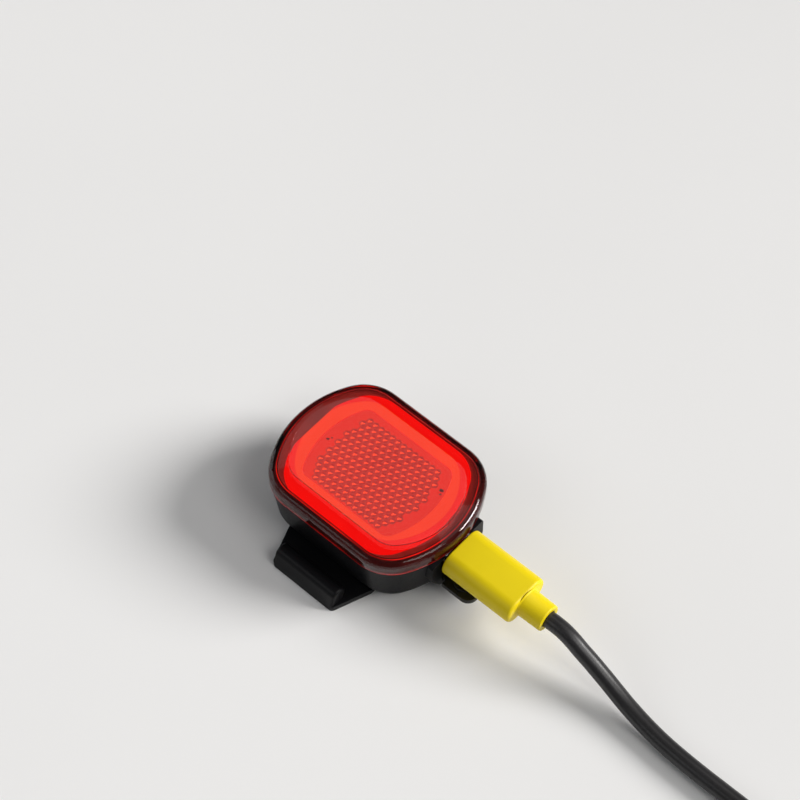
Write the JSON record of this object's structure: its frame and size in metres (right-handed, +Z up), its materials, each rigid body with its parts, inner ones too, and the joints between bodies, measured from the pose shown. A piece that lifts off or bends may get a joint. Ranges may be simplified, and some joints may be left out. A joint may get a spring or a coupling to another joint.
{
  "type": "bicycle rear light",
  "caption": "Rounded rectangular bicycle rear light with a clear lens over a glowing red ring and reflector, strap hooks on its back plate, and its charging cable plugged in.",
  "frame": {"origin": "on the resting plane, under the middle of the lens", "axes": "+X along the light towards the charging port, +Y across it, +Z up, out of the lens"},
  "size_m": [0.2045, 0.0686, 0.0198],
  "materials": {
    "clear_lens": "clear, faintly smoky polycarbonate, polished",
    "red_glow": "translucent red light guide, lit from below",
    "red_reflector": "red retroreflector with a fine hexagonal lattice",
    "black_plastic": "black satin moulding",
    "black_hook": "black satin moulding, slightly rubbery",
    "black_rubber": "black silicone rubber",
    "white_board": "white solder mask",
    "led_body": "moulded diode bodies",
    "chip_black": "moulded chip",
    "capacitor_tan": "ceramic chip",
    "steel": "bright nickel-plated steel",
    "contact_black": "black moulded carrier",
    "switch_grey": "moulded switch body",
    "switch_white": "moulded plunger",
    "battery_foil": "foil pouch",
    "board_green": "green solder mask",
    "foam_grey": "soft foam",
    "connector_ivory": "moulded connector",
    "lead_red": "insulated wire",
    "yellow_plastic": "bright yellow satin moulding",
    "cord_black": "black satin cord jacket",
    "tie_black": "black hook-and-loop tie",
    "insert_white": "white moulded insert"
  },
  "bodies": {
    "root": {"front_lens": "clear_lens", "lens_gasket": "black_rubber", "light_shield": "black_plastic", "light_diffuser": "red_glow", "reflector_panel": "red_reflector", "circuit_board": "white_board", "leds": "led_body", "control_chip": "chip_black", "charge_chip": "chip_black", "capacitors": "capacitor_tan", "board_screws": "steel", "usb_socket_shell": "steel", "usb_socket_tongue": "contact_black", "switch_body": "switch_grey", "battery_cell": "battery_foil", "battery_board": "board_green", "battery_pad": "foam_grey", "battery_connector": "connector_ivory", "battery_leads": "lead_red", "rear_housing": "black_plastic", "hook_plate": "black_hook", "grip_pad": "black_rubber", "plate_screws": "steel"},
    "power_button": {"power_button": "black_rubber", "switch_plunger": "switch_white"},
    "port_cover": {"port_cover": "black_rubber"},
    "charging_cable": {"usb_c_shell": "steel", "usb_c_contacts": "contact_black", "usb_c_grip": "yellow_plastic", "strain_relief": "yellow_plastic", "charging_cord": "cord_black", "charging_cord_coil": "cord_black", "charging_cord_tail": "cord_black", "cord_tie": "tie_black", "usb_a_grip": "yellow_plastic", "usb_a_shell": "steel", "usb_a_insert": "insert_white"}
  },
  "joints": [
    {"name": "button_press", "type": "slide", "parent": "root", "child": "power_button", "axis": [1, 0, 0], "range_m": [0, 0.0005], "stiffness_N_per_m": 3000, "springref_m": -0.0003},
    {"name": "cover_swing", "type": "hinge", "parent": "root", "child": "port_cover", "pos_m": [0.0225, 0, 0.0056], "axis": [0, -1, 0], "range_deg": [-22, 10], "stiffness_Nm_per_rad": 0.002},
    {"name": "plug_pull", "type": "slide", "parent": "root", "child": "charging_cable", "axis": [1, 0, 0], "range_m": [0, 0.012]}
  ]
}
